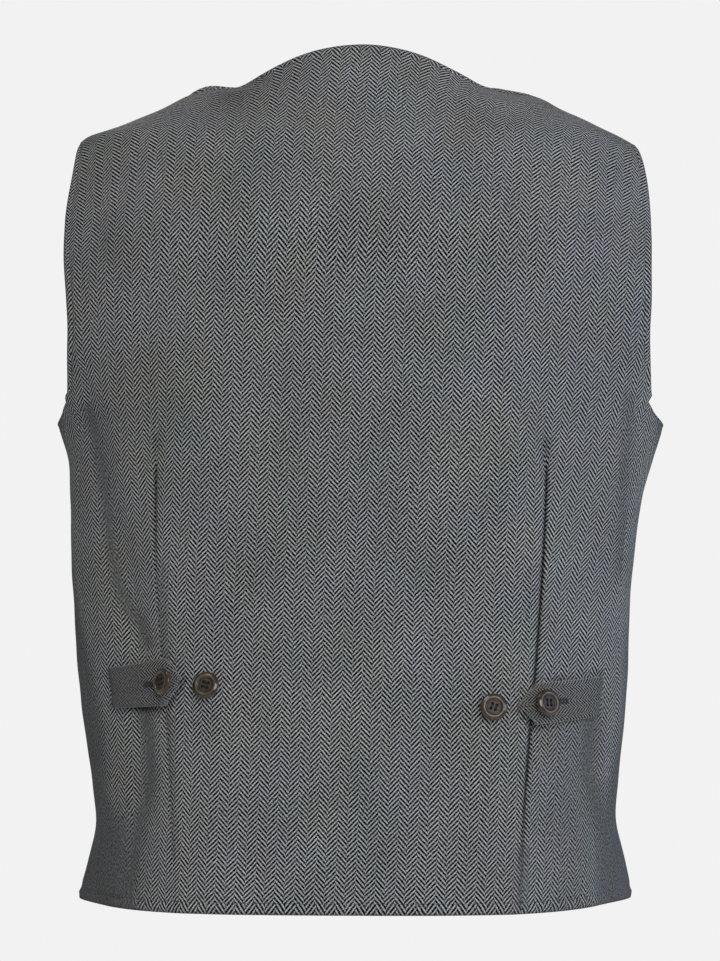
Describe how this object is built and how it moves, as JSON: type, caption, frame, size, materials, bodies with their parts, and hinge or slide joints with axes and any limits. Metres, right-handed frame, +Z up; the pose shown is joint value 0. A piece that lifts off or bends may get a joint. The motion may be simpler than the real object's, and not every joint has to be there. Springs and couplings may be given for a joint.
{
  "type": "herringbone tweed waistcoat",
  "caption": "Sleeveless buttoned waistcoat in herringbone wool tweed, hollow as worn, with long back darts, buttoned half belts at the waist and a V neck.",
  "frame": {"origin": "midway between the two points where the neckline meets the shoulder seams, at the height of the wearer's shoulders beside the neck", "axes": "+Z up, -Y towards the front of the wearer, +Y towards the back, +X towards the wearer's left"},
  "size_m": [0.4328, 0.2303, 0.6034],
  "materials": {
    "tweed": "woven wool, dry nap",
    "tab_tweed": "woven wool, dry nap, pressed",
    "horn_button": "polished horn"
  },
  "bodies": {
    "root": {"back": "tweed", "front_left": "tweed", "front_right": "tweed", "tab_left": "tab_tweed", "tab_right": "tab_tweed", "button_tab_left": "horn_button", "button_waist_left": "horn_button", "button_tab_right": "horn_button", "button_waist_right": "horn_button", "button_front_1": "horn_button", "button_front_2": "horn_button", "button_front_3": "horn_button", "button_front_4": "horn_button", "button_front_5": "horn_button"}
  },
  "joints": []
}
